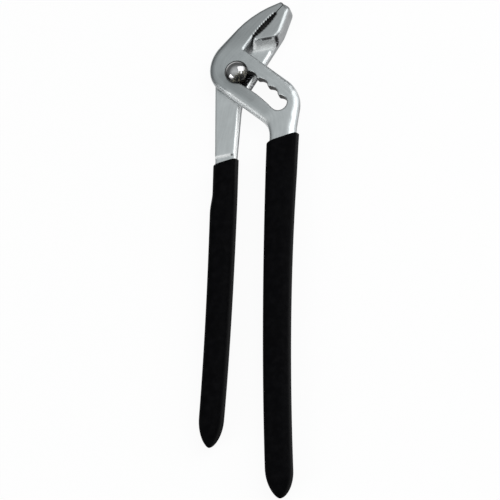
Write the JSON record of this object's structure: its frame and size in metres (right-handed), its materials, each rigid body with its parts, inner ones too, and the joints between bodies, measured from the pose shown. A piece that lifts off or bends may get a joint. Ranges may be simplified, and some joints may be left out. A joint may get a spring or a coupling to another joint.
{
  "type": "water pump pliers",
  "caption": "Adjustable slip-joint pliers with angled toothed jaws, a pivot bolt that shifts along a notched slot, and long dipped handles, for gripping pipes, nuts and fittings.",
  "frame": {"origin": "on the axis of the pivot bolt, in the face of the nut, which is the plane that the tool lies on", "axes": "+Y along the handles towards the jaws, +Z out of the front face where the bolt's domed head is, +X towards the handle of the slotted lever"},
  "size_m": [0.0575, 0.2974, 0.0171],
  "materials": {
    "forged_steel": "satin nickel-plated forging",
    "polished_steel": "polished",
    "plated_steel": "zinc plated",
    "dipped_vinyl": "matte dipped coating"
  },
  "bodies": {
    "upper_lever": {"upper_jaw_lever": "forged_steel", "right_grip": "dipped_vinyl"},
    "slider": {"head_washer": "polished_steel"},
    "lower_lever": {"lower_jaw_lever": "forged_steel", "left_grip": "dipped_vinyl", "pivot_bolt": "polished_steel", "lock_washer": "plated_steel", "pivot_nut": "plated_steel"}
  },
  "joints": [
    {"name": "notch_shift", "type": "hinge", "parent": "upper_lever", "child": "slider", "pos_m": [-0.05432, -0.08396, 0.0095], "axis": [0, 0, -1], "range_deg": [0, 19.2]},
    {"name": "jaw_pivot", "type": "hinge", "parent": "slider", "child": "lower_lever", "pos_m": [0, 0, 0.0095], "axis": [0, 0, -1], "range_deg": [0, 26]}
  ]
}
